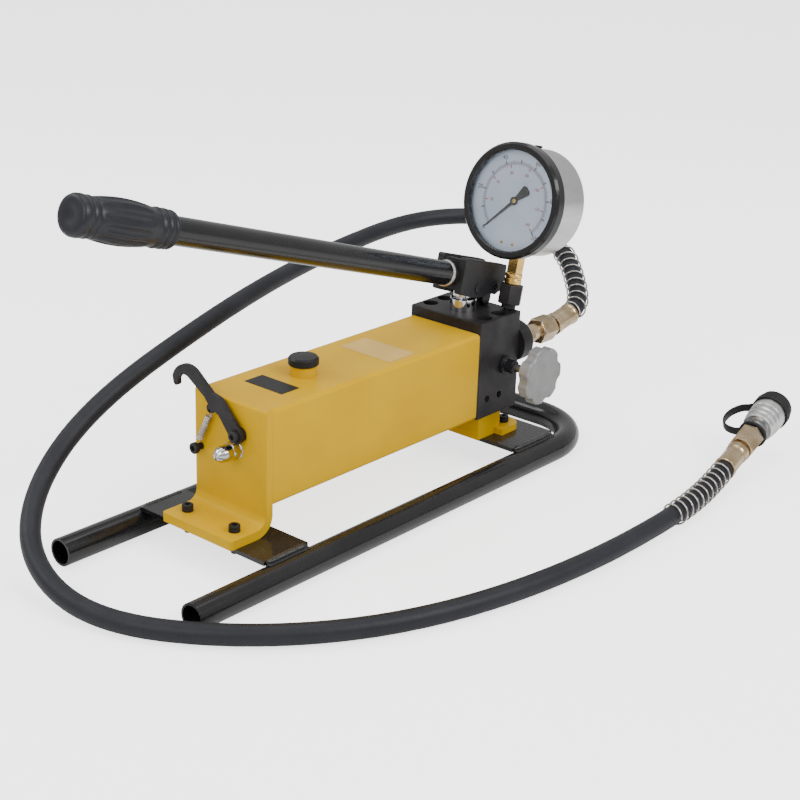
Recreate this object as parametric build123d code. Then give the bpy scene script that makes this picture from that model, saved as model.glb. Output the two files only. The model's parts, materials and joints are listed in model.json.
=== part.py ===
from build123d import *
from math import asin, cos, degrees, radians, sin, sqrt
import os

# Hydraulic hand pump on a tubular skid, with pressure gauge, hose and quick coupler. Millimetres, +Z up.
# It is drawn in the pump's own axes: x = 0 is the outer face of the tank's foot end, +X runs to the valve
# block, y = 0 is the mid-plane of the tank and z = 0 is the floor. Every part is then moved so that the
# origin is on the floor at the centre of the area that the pump and its hose cover.
FOOTPRINT_X = 240.86
FOOTPRINT_Y = -33.69

# Skid
SKID_R = 16.0
SKID_WALL = 2.5
SKID_HALF_TRACK = 104.4
SKID_REAR_X = -153.6
SKID_FRONT_X = 552.0
SKID_BEND_R = 85.0
PLATE_TOP_Z = 36.4
PLATE_THICK = 5.0
PLATE_HALF_W = 97.0
REAR_PLATE_X = (-45.0, 21.5)
FRONT_PLATE_X = (386.0, 469.0)

# Tank and its foot end
TANK_HALF_W = 55.0
TANK_BOTTOM_Z = 68.9
TANK_TOP_Z = 180.0
TANK_END_X = 363.6
TANK_WALL = 4.0
TANK_EDGE_R = 5.0
END_PLATE_THICK = 10.0
FOOT_TIP_X = -52.0
FOOT_BOLT_X = -30.0
FOOT_BOLT_Y = 37.0
FOOT_THICK = 10.6
FILLER_X = 113.0
FILLER_NECK_R = 15.0
FILLER_CAP_R = 17.5
TIE_Y, TIE_Z = -9.0, 125.0

# Valve block
BLOCK_X0 = 364.6
BLOCK_X1 = 443.5
BLOCK_HALF_W = 56.0
BLOCK_BOTTOM_Z = 67.9
BLOCK_TOP_Z = 193.1
FRONT_SCREW_X, FRONT_SCREW_Y = 435.0, 45.0
LUG_THICK = 8.0
TOP_PORTS = [(x, y) for x in (387.0, 415.0) for y in (-42.5, 42.5)]
TOP_PORT_R = 9.5
RELIEF_X = (383.0, 407.0)
RELIEF_Z = 92.0

# Ram, fulcrum and handle linkage (all pivots run along Y)
RAM_X = 398.0
ROD_R = 11.0
PLUNGER_R = 6.0
GLAND_R = 16.6
RUN_GAP = 0.05
PISTON_PIN_Z = 224.0
PISTON_PIN_R = 6.0
EYE_GAP = 1.1
LINK_PIN = (432.0, 220.0)
LUG_PIN = (430.0, 202.0)
FULCRUM_PIN_R = 5.0
LUG_HALF = 5.4
LINK_THICK = 6.0
CHEEK_Y = (12.0, 22.0)
HANDLE_PITCH = 17.13
HANDLE_START = (360.0, 0.0, 246.65)
HANDLE_R = 15.0
HANDLE_LEN = 583.0
GRIP_START = 463.0

# Release valve, axis along -Y
RELEASE_X, RELEASE_Z = 414.0, 130.0
KNOB_R = 36.0
KNOB_LOBES = 7
KNOB_FACE_Y = -118.0

# Gauge: its stem leans back from the block, and the dial faces the person at the handle
GAUGE_FOOT = (436.0, -41.0, 193.1)
GAUGE_LEAN = 12.0
GAUGE_RISE = 135.0
GAUGE_FORWARD = 14.0
CASE_BACK = -42.0
CASE_R = 66.0
BEZEL_R = 71.0

# Hose line
OUTLET_Y, OUTLET_Z = -39.0, 148.0
HOSE_R = 11.5
HOSE_BORE_R = 5.0
FERRULE_R = 14.3
FERRULE_LEN = 42.0
OUTLET_FERRULE_X = 536.0
OUTLET_PITCH = 10.0
COUPLER_START = (545.0, -305.0, 25.0)
COUPLER_HEADING = 6.0
COUPLER_PITCH = 14.0
GUARD_R = 13.6
GUARD_WIRE = 1.1
HOSE_PATH = [
    (640, 0, 180),
    (677, 46, 199),
    (698, 120, 214),
    (688, 190, 220),
    (614, 245, 220),
    (500, 257, 213),
    (307, 229, 202),
    (86, 183, 176),
    (-101, 165, 103),
    (-194, 100, 45),
    (-217, 8, 18),
    (-170, -121, 12.4),
    (-43, -237, 12.4),
    (151, -304, 12.4),
    (354, -322, 14.4),
    (455, -318, 16.6),
]

X_AXIS, Y_AXIS, Z_AXIS = Vector(1, 0, 0), Vector(0, 1, 0), Vector(0, 0, 1)


# ---------------------------------------------------------------- helpers
def turned(*rz):
    """Solid of revolution about local Z from its (radius, height) corners."""
    outline = Polyline(*[(r, 0, z) for r, z in rz], close=True)
    return revolve(make_face(outline), axis=Axis.Z)


def rod(radius, z0, z1):
    return turned((0, z0), (radius, z0), (radius, z1), (0, z1))


def ring(outer, inner, z0, z1):
    return turned((inner, z0), (outer, z0), (outer, z1), (inner, z1))


def hexagon(across_flats, z0, z1, chamfer=1.0):
    """Hexagonal prism whose corners are turned off at both ends."""
    prism = Pos(0, 0, z0) * extrude(RegularPolygon(across_flats / 2, 6, major_radius=False), z1 - z0)
    corner = across_flats / 2 / cos(radians(30))
    inside = corner - 1.6 * chamfer
    return prism & turned((0, z0), (inside, z0), (corner, z0 + chamfer), (corner, z1 - chamfer), (inside, z1),
                          (0, z1))


def ball(radius):
    return Sphere(radius)


def slab(x, y, z):
    """Box from its (low, high) limits."""
    return Pos(sum(x) / 2, sum(y) / 2, sum(z) / 2) * Box(x[1] - x[0], y[1] - y[0], z[1] - z[0])


def along(origin, direction, x_dir):
    """Location whose local Z runs along direction."""
    return Plane(origin=origin, x_dir=x_dir, z_dir=direction).location


def drilled(radius, start, end):
    """Straight drilling between two points."""
    a, b = Vector(*start), Vector(*end)
    return Plane(origin=a, z_dir=b - a).location * rod(radius, 0, (b - a).length)


def coil(radius, wire, z0, z1, turns):
    """Helical spring about local Z that lies between z0 and z1."""
    height = z1 - z0 - 2 * wire
    path = Pos(0, 0, z0 + wire) * Helix(height / turns, height, radius)
    section = Plane(origin=path @ 0, z_dir=path % 0) * Circle(wire)
    return sweep(section, path=path, is_frenet=True)


def socket_screw(thread_r, length, head_h=None, hex_r=None):
    """Socket head cap screw: the head stands on local z = 0 and the shank runs down."""
    head_r = 1.625 * thread_r
    head_h = head_h or 2 * thread_r
    key = hex_r or 0.87 * thread_r
    body = turned((0, -length), (thread_r - 0.6, -length), (thread_r, -length + 0.6), (thread_r, 0),
                  (head_r, 0), (head_r, head_h - 0.8), (head_r - 0.8, head_h), (0, head_h))
    return body - Pos(0, 0, head_h * 0.45) * extrude(RegularPolygon(key, 6), head_h)


def side_profile(points, half_width):
    """Plate drawn in the XZ plane and thickened to both sides of y = 0."""
    return extrude(Plane.XZ * make_face(Polyline(*points, close=True)), half_width, both=True)


DOWN_Y = Vector(0, -1, 0)
handle_dir = Vector(-cos(radians(HANDLE_PITCH)), 0, sin(radians(HANDLE_PITCH)))
HANDLE = along(HANDLE_START, handle_dir, Y_AXIS)
lean = radians(GAUGE_LEAN)
gauge_up = Vector(sin(lean), 0, cos(lean))
gauge_face = Vector(-cos(lean), 0, sin(lean))
GAUGE_STEM = along(GAUGE_FOOT, gauge_up, DOWN_Y)
gauge_centre = Vector(*GAUGE_FOOT) + gauge_up * GAUGE_RISE + gauge_face * GAUGE_FORWARD
DIAL = along(gauge_centre, gauge_face, DOWN_Y)
OUTLET = along((BLOCK_X1, OUTLET_Y, OUTLET_Z), X_AXIS, Y_AXIS)
outlet_dir = Vector(cos(radians(OUTLET_PITCH)), 0, sin(radians(OUTLET_PITCH)))
outlet_start = Vector(OUTLET_FERRULE_X, OUTLET_Y, OUTLET_Z)
OUTLET_TAIL = along(outlet_start, outlet_dir, Y_AXIS)
turn, rise = radians(COUPLER_HEADING), radians(COUPLER_PITCH)
coupler_dir = Vector(cos(rise) * cos(turn), cos(rise) * sin(turn), sin(rise))
COUPLER = along(COUPLER_START, coupler_dir, Vector(-sin(turn), cos(turn), 0))
RELEASE = along((RELEASE_X, 0, RELEASE_Z), DOWN_Y, X_AXIS)


# ---------------------------------------------------------------- skid and feet
def skid_path():
    rear_low = (SKID_REAR_X, -SKID_HALF_TRACK, SKID_R)
    front_low = (SKID_FRONT_X, -SKID_HALF_TRACK, SKID_R)
    front_high = (SKID_FRONT_X, SKID_HALF_TRACK, SKID_R)
    rear_high = (SKID_REAR_X, SKID_HALF_TRACK, SKID_R)
    return FilletPolyline(rear_low, front_low, front_high, rear_high, radius=SKID_BEND_R)


def skid_tube():
    path = skid_path()
    start = Plane(origin=path @ 0, z_dir=path % 0)
    outer = sweep(start * Circle(SKID_R), path=path)
    return outer - sweep(start * Circle(SKID_R - SKID_WALL), path=path)


def cross_plate(x_span, hole_x, hole_y, hole_r):
    """Flat plate across both skid tubes, with its weld beads run into the tubes."""
    plate = slab(x_span, (-PLATE_HALF_W, PLATE_HALF_W), (PLATE_TOP_Z - PLATE_THICK, PLATE_TOP_Z))
    for side in (-1, 1):
        bead = [(PLATE_HALF_W - 0.5, PLATE_TOP_Z - 0.8), (PLATE_HALF_W - 0.5, 28.0),
                (SKID_HALF_TRACK - 1.0, 30.0), (SKID_HALF_TRACK - 0.5, 32.6)]
        outline = Plane.YZ * make_face(Polyline(*[(side * y, z) for y, z in bead], close=True))
        length = x_span[1] - x_span[0] - 6
        plate += Pos(x_span[0] + 3, 0, 0) * extrude(outline, length, dir=(1, 0, 0))
        tube = Pos(0, side * SKID_HALF_TRACK, SKID_R) * Rot(0, 90, 0) * Cylinder(SKID_R, 1400)
        plate -= tube
        plate -= Pos(hole_x, side * hole_y, 0) * Cylinder(hole_r, 100)
    return plate


def rear_foot():
    """End plate of the tank, bent at the bottom into the bolted foot."""
    outline = [(END_PLATE_THICK, TANK_TOP_Z), (0, TANK_TOP_Z), (0, PLATE_TOP_Z + FOOT_THICK),
               (FOOT_TIP_X, PLATE_TOP_Z + FOOT_THICK), (FOOT_TIP_X, PLATE_TOP_Z), (END_PLATE_THICK, PLATE_TOP_Z)]
    body = side_profile(outline, TANK_HALF_W)
    outer_corner = body.edges().filter_by(Axis.Y).group_by(Axis.Z)[0].sort_by(Axis.X)[-1]
    body = fillet(outer_corner, 23)
    inner_corner = [e for e in body.edges().filter_by(Axis.Y)
                    if abs(e.center().X) < 0.1 and abs(e.center().Z - PLATE_TOP_Z - FOOT_THICK) < 0.1]
    body = fillet(inner_corner, 13)
    body = fillet(body.edges().filter_by(Axis.Z).group_by(Axis.X)[0], 4)
    top_edge = body.edges().filter_by(Axis.Y).group_by(Axis.Z)[-1].sort_by(Axis.X)[0]
    body = fillet(top_edge, 3)
    for side in (-1, 1):
        body -= Pos(FOOT_BOLT_X, side * FOOT_BOLT_Y, 0) * Cylinder(4.5, 200)
    body -= drilled(5.2, (-60, TIE_Y, TIE_Z), (60, TIE_Y, TIE_Z))
    for y, z in (HOOK_PIVOT, HOOK_ANCHOR):
        body -= drilled(4.0, (-20, y, z), (END_PLATE_THICK - 1, y, z))
    return body


def foot_spots():
    """Position of each foot screw and the height that its head stands on."""
    rear = [(FOOT_BOLT_X, side * FOOT_BOLT_Y, PLATE_TOP_Z + FOOT_THICK) for side in (-1, 1)]
    front = [(FRONT_SCREW_X, side * FRONT_SCREW_Y, PLATE_TOP_Z + LUG_THICK) for side in (-1, 1)]
    return rear + front


def foot_screws():
    return [Pos(*spot) * socket_screw(4, 26) for spot in foot_spots()]


def foot_nuts():
    low = PLATE_TOP_Z - PLATE_THICK
    nut = hexagon(13, low - 6.5, low) - rod(4, low - 7, low + 1)
    return [Pos(x, y, 0) * nut for x, y, _ in foot_spots()]


def front_foot():
    """Cast pedestal under the valve block with two lobed lugs."""
    body = slab((376, 420), (-50, 50), (PLATE_TOP_Z, BLOCK_BOTTOM_Z))
    for side in (-1, 1):
        y = side * FRONT_SCREW_Y
        lobe = Pos(FRONT_SCREW_X, y, PLATE_TOP_Z) * rod(17, 0, LUG_THICK)
        web = slab((410, FRONT_SCREW_X), (y - 17, y + 17), (PLATE_TOP_Z, PLATE_TOP_Z + LUG_THICK))
        body += lobe + web
        body -= Pos(FRONT_SCREW_X, y, 0) * Cylinder(4.5, 200)
    return body


# ---------------------------------------------------------------- tank
def tank_shell():
    size_y, size_z = 2 * TANK_HALF_W, TANK_TOP_Z - TANK_BOTTOM_Z
    outer = RectangleRounded(size_y, size_z, TANK_EDGE_R)
    inner = RectangleRounded(size_y - 2 * TANK_WALL, size_z - 2 * TANK_WALL, 2)
    middle = (TANK_TOP_Z + TANK_BOTTOM_Z) / 2
    tube = extrude(Plane.YZ * (outer - inner), TANK_END_X - END_PLATE_THICK)
    tube = Pos(END_PLATE_THICK, 0, middle) * tube
    return tube - Pos(FILLER_X, 0, TANK_TOP_Z) * Cylinder(FILLER_NECK_R, 40)


def tank_gasket():
    size_y, size_z = 2 * TANK_HALF_W, TANK_TOP_Z - TANK_BOTTOM_Z
    outline = RectangleRounded(size_y, size_z, TANK_EDGE_R)
    outline -= RectangleRounded(size_y - 2 * TANK_WALL, size_z - 2 * TANK_WALL, 2)
    sheet = extrude(Plane.YZ * outline, BLOCK_X0 - TANK_END_X)
    return Pos(TANK_END_X, 0, (TANK_TOP_Z + TANK_BOTTOM_Z) / 2) * sheet


def filler_neck():
    low, top = TANK_TOP_Z - 6, TANK_TOP_Z + 12
    outer = FILLER_NECK_R
    neck = turned((11, low), (outer, low), (outer, top - 1), (outer - 1, top), (11, top))
    return Pos(FILLER_X, 0, 0) * neck


def filler_cap():
    low = TANK_TOP_Z + 12
    cap = turned((0, low - 14), (10.95, low - 14), (10.95, low), (FILLER_CAP_R - 0.8, low),
                 (FILLER_CAP_R, low + 1), (FILLER_CAP_R, low + 7.5), (FILLER_CAP_R - 2, low + 9.6),
                 (0, low + 10.2))
    notch = Cylinder(0.7, 7)
    for k in range(36):
        cap -= Rot(0, 0, 10 * k) * Pos(FILLER_CAP_R + 0.2, 0, low + 4.2) * notch
    return Pos(FILLER_X, 0, 0) * cap


def tie_rod():
    axis = along((0, TIE_Y, TIE_Z), X_AXIS, Y_AXIS)
    return axis * rod(5, -12, BLOCK_X0 + 18)


def dome_nut():
    hexagonal = hexagon(19, 0.4, 11)
    dome = turned((0, 10), (9.4, 10), (9.4, 19), (8.8, 23), (7.2, 26.6), (4.4, 29.4), (0, 30.6))
    nut = hexagonal + dome + ring(11, 5, 0, 0.5) - rod(5, -1, 12)
    return along((0, TIE_Y, TIE_Z), -X_AXIS, Y_AXIS) * nut


def suction_strainer():
    """Suction pipe with a capped mesh basket, screwed into the block low in the tank."""
    y, z = TOP_PORTS[1][1], 86.0
    axis = along((BLOCK_X0, y, z), -X_AXIS, Y_AXIS)
    pipe = ring(5, 3, -8, 40)
    basket = turned((3, 36), (8, 36), (8, 80), (0, 80), (0, 78), (6.8, 78), (6.8, 38), (3, 38))
    slots = Part() + [Rot(0, 0, 30 * k) * Pos(7.4, 0, 57) * Box(4, 1.8, 32) for k in range(12)]
    return axis * (pipe + (basket - slots))


# ---------------------------------------------------------------- transport hook on the foot end
HOOK_PIVOT = (-17.0, 145.0)
HOOK_ANCHOR = (46.0, 113.0)
HOOK_TAB = (22.0, 166.0)
HOOK_X = (-9.0, -4.0)


def hook_lever():
    """Flat lever with a bent-over crook at the top and a tab for its spring."""
    shank = Polyline((72.2, 182.3), (72.4, 187))
    inside = ThreePointArc((72.4, 187), (66.5, 193.4), (57, 193.4))
    under = Polyline((57, 193.4), (30.7, 177), (22, 166.5), (9, 162), (-10.3, 138.7), (-23.3, 151.7),
                     (6.5, 181.5), (19.5, 184.5), (41, 201.5))
    outside = ThreePointArc((41, 201.5), (67, 205.2), (81.6, 189))
    tip = Line((81.6, 189), (80.3, 181.8)) + ThreePointArc((80.3, 181.8), (76.3, 178.6), (72.2, 182.3))
    outline = make_face(shank + inside + under + outside + tip)
    outline += Pos(*HOOK_PIVOT) * Circle(9.2) + Pos(*HOOK_TAB) * Circle(5.5)
    outline -= Pos(*HOOK_PIVOT) * Circle(4 + RUN_GAP)
    outline -= Pos(HOOK_TAB[0] + 1, HOOK_TAB[1] - 2.5) * Circle(1.6)
    plate = Pos(HOOK_X[0], 0, 0) * extrude(Plane.YZ * outline, HOOK_X[1] - HOOK_X[0])
    boss = along((HOOK_X[1], *HOOK_PIVOT), X_AXIS, Y_AXIS) * ring(8.2, 4 + RUN_GAP, 0, 3.8)
    return plate + boss


def hook_screws():
    """Shouldered pivot screw of the hook and the anchor screw of its spring."""
    seat = HOOK_X[0] - 0.1
    pivot = along((seat, *HOOK_PIVOT), -X_AXIS, Y_AXIS) * socket_screw(4, END_PLATE_THICK - 2 - seat, head_h=5)
    anchor = along((-8, *HOOK_ANCHOR), -X_AXIS, Y_AXIS) * socket_screw(4, END_PLATE_THICK + 6, head_h=5)
    return [pivot, anchor]


def hook_spring():
    """Tension spring from the lever's tab to the anchor screw, with straight hooked ends."""
    x = -6.0
    start = Vector(x, HOOK_TAB[0] + 1, HOOK_TAB[1] - 2.5)
    end = Vector(x, HOOK_ANCHOR[0] - 1.5, HOOK_ANCHOR[1] + 5.2)
    span = end - start
    axis = Plane(origin=start, x_dir=X_AXIS, z_dir=span).location
    length = span.length
    body = coil(3.2, 0.75, 8, length - 6, 16)
    for z0, z1 in ((0.9, 9.3), (length - 7.3, length)):
        body += Pos(3.2 if z0 < 5 else 3.2, 0, 0) * rod(0.7, z0, z1)
    return axis * body


# ---------------------------------------------------------------- valve block and what it holds
def valve_block():
    body = slab((BLOCK_X0, BLOCK_X1), (-BLOCK_HALF_W, BLOCK_HALF_W), (BLOCK_BOTTOM_Z, BLOCK_TOP_Z))
    body = chamfer(body.edges(), 1.0)
    ram = Pos(RAM_X, 0, 0)
    body -= ram * rod(15, 172, 220)
    body -= ram * rod(ROD_R + RUN_GAP, 138, 175)
    body -= ram * rod(PLUNGER_R + RUN_GAP, 88, 140)
    for x, y in TOP_PORTS:
        body -= Pos(x, y, 0) * rod(TOP_PORT_R, 165, 220)
    for x, y in TOP_PORTS[1::2]:
        body -= Pos(x, y, 0) * rod(5.5, 150, 166)
    inlet_x, inlet_y = TOP_PORTS[1]
    outlet_x, outlet_y = TOP_PORTS[3]
    body -= drilled(5, (BLOCK_X0 - 1, inlet_y, 86), (BLOCK_X0 + 8, inlet_y, 86))
    body -= drilled(3, (BLOCK_X0, inlet_y, 86), (inlet_x, inlet_y, 86))
    body -= drilled(2.5, (inlet_x, inlet_y, 86), (inlet_x, inlet_y, 151))
    body -= drilled(2.5, (inlet_x, inlet_y, 158), (RAM_X, 0, 158))
    body -= drilled(2.5, (outlet_x, outlet_y, 130), (outlet_x, outlet_y, 151))
    body -= drilled(2.0, (RAM_X, 0, 133), (outlet_x, outlet_y, 133))
    body -= drilled(2.5, (outlet_x, outlet_y, 154), (outlet_x, OUTLET_Y, 152))
    body -= drilled(10, (BLOCK_X1 + 1, OUTLET_Y, OUTLET_Z), (BLOCK_X1 - 12, OUTLET_Y, OUTLET_Z))
    body -= drilled(4, (BLOCK_X1, OUTLET_Y, OUTLET_Z), (416, OUTLET_Y, OUTLET_Z))
    body -= GAUGE_STEM * rod(4.5, -12, 20)
    body -= GAUGE_STEM * rod(1.5, -46, 0)
    body -= RELEASE * rod(8, 38, 80)
    body -= RELEASE * rod(5.1, 22, 40)
    body -= RELEASE * rod(2.2, 11, 24)
    body -= drilled(1.6, (RELEASE_X + 0.4, -14, RELEASE_Z), (RELEASE_X + 0.4, -14, 152.6))
    body -= drilled(2.5, (RELEASE_X, -30, RELEASE_Z), (BLOCK_X0 - 1, -30, RELEASE_Z))
    for x in RELIEF_X:
        body -= drilled(4.5, (x, -60, RELIEF_Z), (x, -16, RELIEF_Z))
        body -= drilled(2, (x, -18, RELIEF_Z), (x, -8, RELIEF_Z))
        body -= drilled(1.5, (x, -11, RELIEF_Z), (RAM_X, 0, RELIEF_Z))
    body -= drilled(2, (RELIEF_X[1], -25, RELIEF_Z), (BLOCK_X0 - 1, -25, RELIEF_Z))
    return body - drilled(5, (BLOCK_X0 - 1, TIE_Y, TIE_Z), (BLOCK_X0 + 20, TIE_Y, TIE_Z))


def top_port_plugs():
    plug = turned((0, 170), (8.5, 170), (TOP_PORT_R, 171), (TOP_PORT_R, 183), (8.7, 184), (0, 184))
    plug -= Pos(0, 0, 177) * extrude(RegularPolygon(4.6, 6), 10)
    return [Pos(x, y, 0) * plug for x, y in TOP_PORTS]


CHECK_BALL_R = 4.0
CHECK_BALL_Z = 150.0 + sqrt(CHECK_BALL_R ** 2 - 2.5 ** 2) + 0.01
RELIEF_BALL_R = 3.2
RELIEF_BALL_Y = -16.0 - sqrt(RELIEF_BALL_R ** 2 - 2.0 ** 2) - 0.01


def check_ball(port):
    return Pos(*port, CHECK_BALL_Z) * ball(CHECK_BALL_R)


def relief_balls():
    return [Pos(x, RELIEF_BALL_Y, RELIEF_Z) * ball(RELIEF_BALL_R) for x in RELIEF_X]


def valve_springs():
    ball_top = CHECK_BALL_Z + CHECK_BALL_R + 0.05
    upright = [Pos(x, y, 0) * coil(3.0, 0.6, ball_top, 170, 5) for x, y in TOP_PORTS[1::2]]
    depth = -RELIEF_BALL_Y + RELIEF_BALL_R + 0.05
    lying = [along((x, 0, RELIEF_Z), DOWN_Y, X_AXIS) * coil(2.6, 0.6, depth, 44, 8) for x in RELIEF_X]
    return upright + lying


def relief_set_screws():
    screw = rod(4.5, 44, 54) - Pos(0, 0, 49) * extrude(RegularPolygon(2.9, 6), 8)
    return [along((x, 0, RELIEF_Z), DOWN_Y, X_AXIS) * screw for x in RELIEF_X]


def gland_nut():
    low, top = BLOCK_TOP_Z, BLOCK_TOP_Z + 16
    bore = ROD_R + RUN_GAP
    return Pos(RAM_X, 0, 0) * turned((bore, 176), (15, 176), (15, low), (GLAND_R, low), (GLAND_R, top - 1.2),
                                     (GLAND_R - 1.2, top), (bore, top))


def rod_seal():
    bore = ROD_R + RUN_GAP
    return Pos(RAM_X, 0, 0) * turned((bore, 172), (15, 172), (15, 176), (13.4, 176), (12.6, 174.5), (11.8, 176),
                                     (bore, 176))


def pump_piston():
    stem = turned((0, 90), (PLUNGER_R - 1, 90), (PLUNGER_R, 91.5), (PLUNGER_R, 141), (ROD_R, 141), (ROD_R, 214),
                  (0, 214))
    eye = Pos(0, 0, PISTON_PIN_Z) * Rot(90, 0, 0) * Cylinder(12, 18)
    neck = slab((-9.5, 9.5), (-9, 9), (210, PISTON_PIN_Z))
    eye_hole = Pos(0, 0, PISTON_PIN_Z) * Rot(90, 0, 0) * Cylinder(PISTON_PIN_R + EYE_GAP, 40)
    return Pos(RAM_X, 0, 0) * (stem + eye + neck - eye_hole)


# ---------------------------------------------------------------- release valve
def release_gland():
    return RELEASE * turned((5.1, 41), (8, 41), (8, 56), (11.5, 56), (11.5, 61), (8.5, 62), (8.5, 73), (7.5, 74),
                            (5.1, 74))


def release_spindle():
    return RELEASE * turned((0, 21), (1.2, 21), (5.0, 27), (5.0, 112), (0, 112))


def release_knob():
    """Lobed cast knob with a hub behind it."""
    back, face = -KNOB_FACE_Y - 14, -KNOB_FACE_Y
    disc = rod(KNOB_R, back, face)
    for k in range(KNOB_LOBES):
        angle = (k + 0.5) * 360 / KNOB_LOBES
        disc -= Rot(0, 0, angle) * Pos(KNOB_R + 6.5, 0, (back + face) / 2) * Cylinder(10.5, 40)
    upright = disc.edges().filter_by(Axis.Z)
    disc = fillet(upright, 4)
    disc = chamfer(disc.faces().sort_by(Axis.Z)[-1].outer_wire().edges(), 1.6)
    hub = turned((0, back - 14), (14.5, back - 14), (16, back - 12.5), (16, back + 1), (0, back + 1))
    body = disc + hub - rod(5.0, 60, 112)
    return RELEASE * (body - drilled(2.5, (0, 0, back - 6), (30, 0, back - 6)))


# ---------------------------------------------------------------- fulcrum and handle
def pivot(x, z, radius, half_length):
    return Pos(x, 0, z) * Rot(90, 0, 0) * Cylinder(radius, 2 * half_length)


def fulcrum_lug():
    x, z = LUG_PIN
    foot = slab((x - 13, x + 12), (-LUG_HALF, LUG_HALF), (BLOCK_TOP_Z, z))
    return foot + pivot(x, z, 8, LUG_HALF) - pivot(x, z, FULCRUM_PIN_R + RUN_GAP, 20)


def fulcrum_links():
    span = Vector(LINK_PIN[0] - LUG_PIN[0], LINK_PIN[1] - LUG_PIN[1])
    length = span.length
    outline = Pos(0, length / 2) * Rot(0, 0, 90) * SlotCenterToCenter(length, 16)
    for z in (0, length):
        outline -= Pos(0, z) * Circle(FULCRUM_PIN_R)
    tilt = degrees(asin(span.X / length))
    links = []
    for low in (LUG_HALF + 0.2, -LUG_HALF - 0.2 - LINK_THICK):
        plate = Rot(0, tilt, 0) * (Plane.XZ * extrude(outline, -LINK_THICK))
        links.append(Pos(LUG_PIN[0], low, LUG_PIN[1]) * plate)
    return links


def fulcrum_pins():
    upper = pivot(*LINK_PIN, FULCRUM_PIN_R, CHEEK_Y[1] + 1.2)
    lower = pivot(*LUG_PIN, FULCRUM_PIN_R, LUG_HALF + LINK_THICK + 0.2)
    return [upper, lower]


def piston_pin():
    return pivot(RAM_X, PISTON_PIN_Z, PISTON_PIN_R, CHEEK_Y[1] + 1.6)


def handle_head():
    """Forked head: two cheeks, the web between them and the spigot that enters the tube."""
    outline = [(373, 267), (455, 242.5), (452, 224), (443, 211.5), (433, 208.6), (421, 212.5), (410, 210.6),
               (393, 212.4), (363, 223)]
    cheeks = side_profile(outline, CHEEK_Y[1]) - side_profile([(340, 190), (340, 290), (480, 290), (480, 190)],
                                                             CHEEK_Y[0])
    upright = [e for e in cheeks.edges().filter_by(Axis.Y) if e.center().Z > 220]
    cheeks = fillet(upright, 3)
    web = side_profile([(366.5, 226), (373.5, 264), (384, 261), (379, 233), (376, 223.6)], CHEEK_Y[0])
    spigot = HANDLE * (rod(HANDLE_R - 3, 0, 50) + rod(HANDLE_R - 1, -9, 0) + rod(9, -20, -8))
    body = cheeks + web + (spigot & slab((200, 384), (-40, 40), (150, 400)))
    body -= pivot(RAM_X, PISTON_PIN_Z, PISTON_PIN_R, 40)
    return body - pivot(*LINK_PIN, FULCRUM_PIN_R + RUN_GAP, 40)


def handle_tube():
    return HANDLE * ring(HANDLE_R, HANDLE_R - 3, 0, HANDLE_LEN)


def handle_grip():
    """Moulded grip: ring beads at both ends and a fluted, swelling body between them."""
    s, e = GRIP_START, HANDLE_LEN + 5
    beads = [(HANDLE_R, s), (18.5, s), (20, s + 2), (20, s + 6), (18.6, s + 8), (20.4, s + 11), (20.4, s + 16),
             (19, s + 18), (20.6, s + 21), (20.6, s + 26), (19.4, s + 28)]
    swell = [(20.5, s + 36), (22.6, s + 54), (23.4, s + 68), (23, s + 84), (21.4, s + 98)]
    end = [(20, s + 102), (21.6, s + 105), (21.6, s + 110), (20.2, s + 112), (21.4, s + 115), (21.4, e - 5),
           (19.5, e - 1), (17, e), (0, e), (0, HANDLE_LEN + 0.1), (HANDLE_R, HANDLE_LEN + 0.1)]
    body = turned(*beads, *swell, *end)
    flute = Cylinder(3.2, 46)
    for k in range(10):
        body -= Rot(0, 0, 36 * k) * Pos(24.8, 0, s + 68) * flute
    return HANDLE * body


# ---------------------------------------------------------------- gauge
def gauge_adapter():
    outside = rod(4.5, -11.5, 3) + rod(9, 2, 8) + hexagon(27, 7, 32, 1.5)
    return GAUGE_STEM * (outside - rod(1.5, -14, 18) - rod(6, 18, 33))


def gauge_stem():
    collar = turned((0, 32), (9.6, 32), (10.6, 33), (10.6, 38), (9.8, 39), (9.8, 40.5), (10.6, 41.5),
                    (10.6, 45), (9.6, 46), (0, 46))
    square = slab((-7, 7), (-7, 7), (45, 80))
    thread = rod(6, 19, 33)
    return GAUGE_STEM * (thread + collar + square + rod(9, 76, 87) - rod(1.6, 18, 90))


def gauge_case():
    shell = turned((0, CASE_BACK), (CASE_R - 3, CASE_BACK), (CASE_R, CASE_BACK + 3), (CASE_R, 18),
                   (CASE_R - 1.5, 18), (CASE_R - 1.5, CASE_BACK + 3), (CASE_R - 3.6, CASE_BACK + 1.4),
                   (0, CASE_BACK + 1.4))
    stem_hole = Pos(0, -CASE_R, -GAUGE_FORWARD) * Rot(90, 0, 0) * Cylinder(9.95, 20)
    plug_hole = Pos(0, CASE_R, -16) * Rot(90, 0, 0) * Cylinder(3, 20)
    return DIAL * (shell - stem_hole - plug_hole)


def gauge_bezel():
    lip = CASE_R - 4.7
    return DIAL * turned((lip, 19.5), (CASE_R, 19.5), (CASE_R, 10), (BEZEL_R - 0.8, 10), (BEZEL_R, 11),
                         (BEZEL_R, 22), (BEZEL_R - 2.5, 25), (lip + 1.2, 25), (lip, 23.8))


def gauge_window():
    return DIAL * rod(CASE_R - 1.6, 17, 19.4)


def gauge_dial():
    return DIAL * ring(CASE_R - 1.6, 2.6, 12.4, 13.4)


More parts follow.
